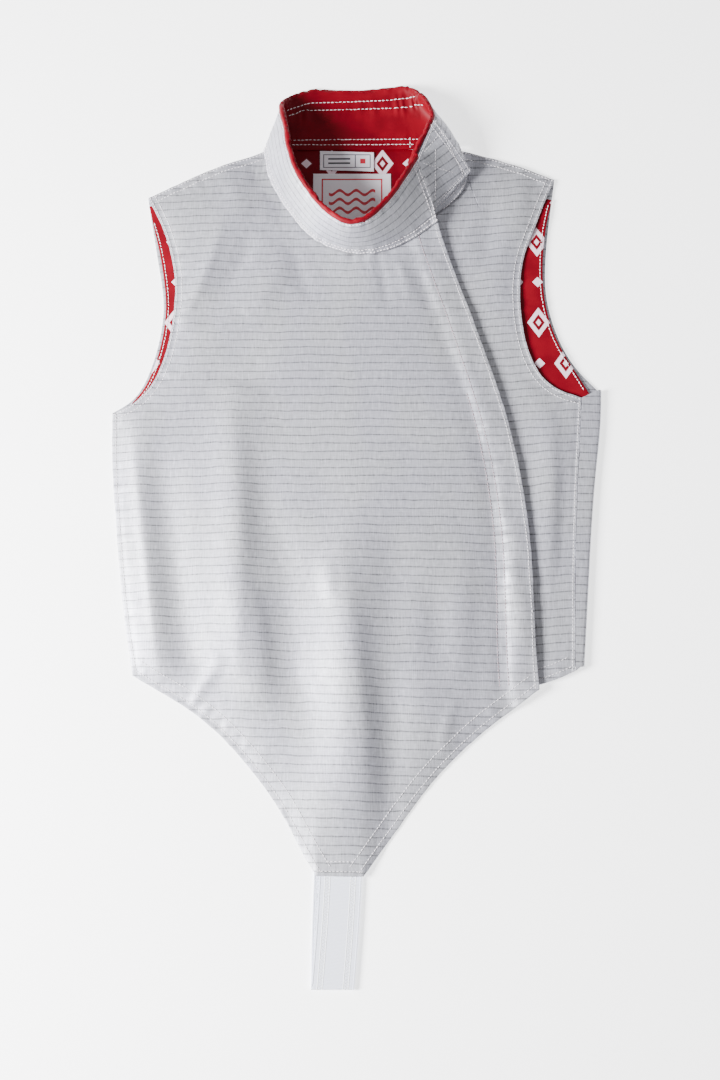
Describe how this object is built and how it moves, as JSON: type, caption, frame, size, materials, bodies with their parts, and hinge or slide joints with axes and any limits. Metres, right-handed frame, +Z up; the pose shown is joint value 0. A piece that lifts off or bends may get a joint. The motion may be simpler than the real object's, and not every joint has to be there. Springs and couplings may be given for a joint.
{
  "type": "fencing lame",
  "caption": "Child's sleeveless foil fencing lame laid flat: metallic cloth with dark stripes, slanting front edge, standing collar with red lining, elastic crotch strap.",
  "frame": {"origin": "middle of the garment's outline as it lies, on the surface it rests on", "axes": "+Y from the crotch strap to the collar, +X towards the wearer's left side, +Z up from the surface through the front"},
  "size_m": [0.4293, 0.7989, 0.0527],
  "materials": {
    "lame_cloth": "satin",
    "lining": "satin",
    "elastic": "matte",
    "label": "satin",
    "thread": "satin"
  },
  "bodies": {
    "root": {"back_panel": "lame_cloth", "back_lining": "lining", "front_left": "lame_cloth", "front_right": "lame_cloth", "collar": "lame_cloth", "collar_lining": "lining", "collar_tab": "lame_cloth", "size_label": "label", "neck_patch": "label", "crotch_strap": "elastic"}
  },
  "joints": []
}
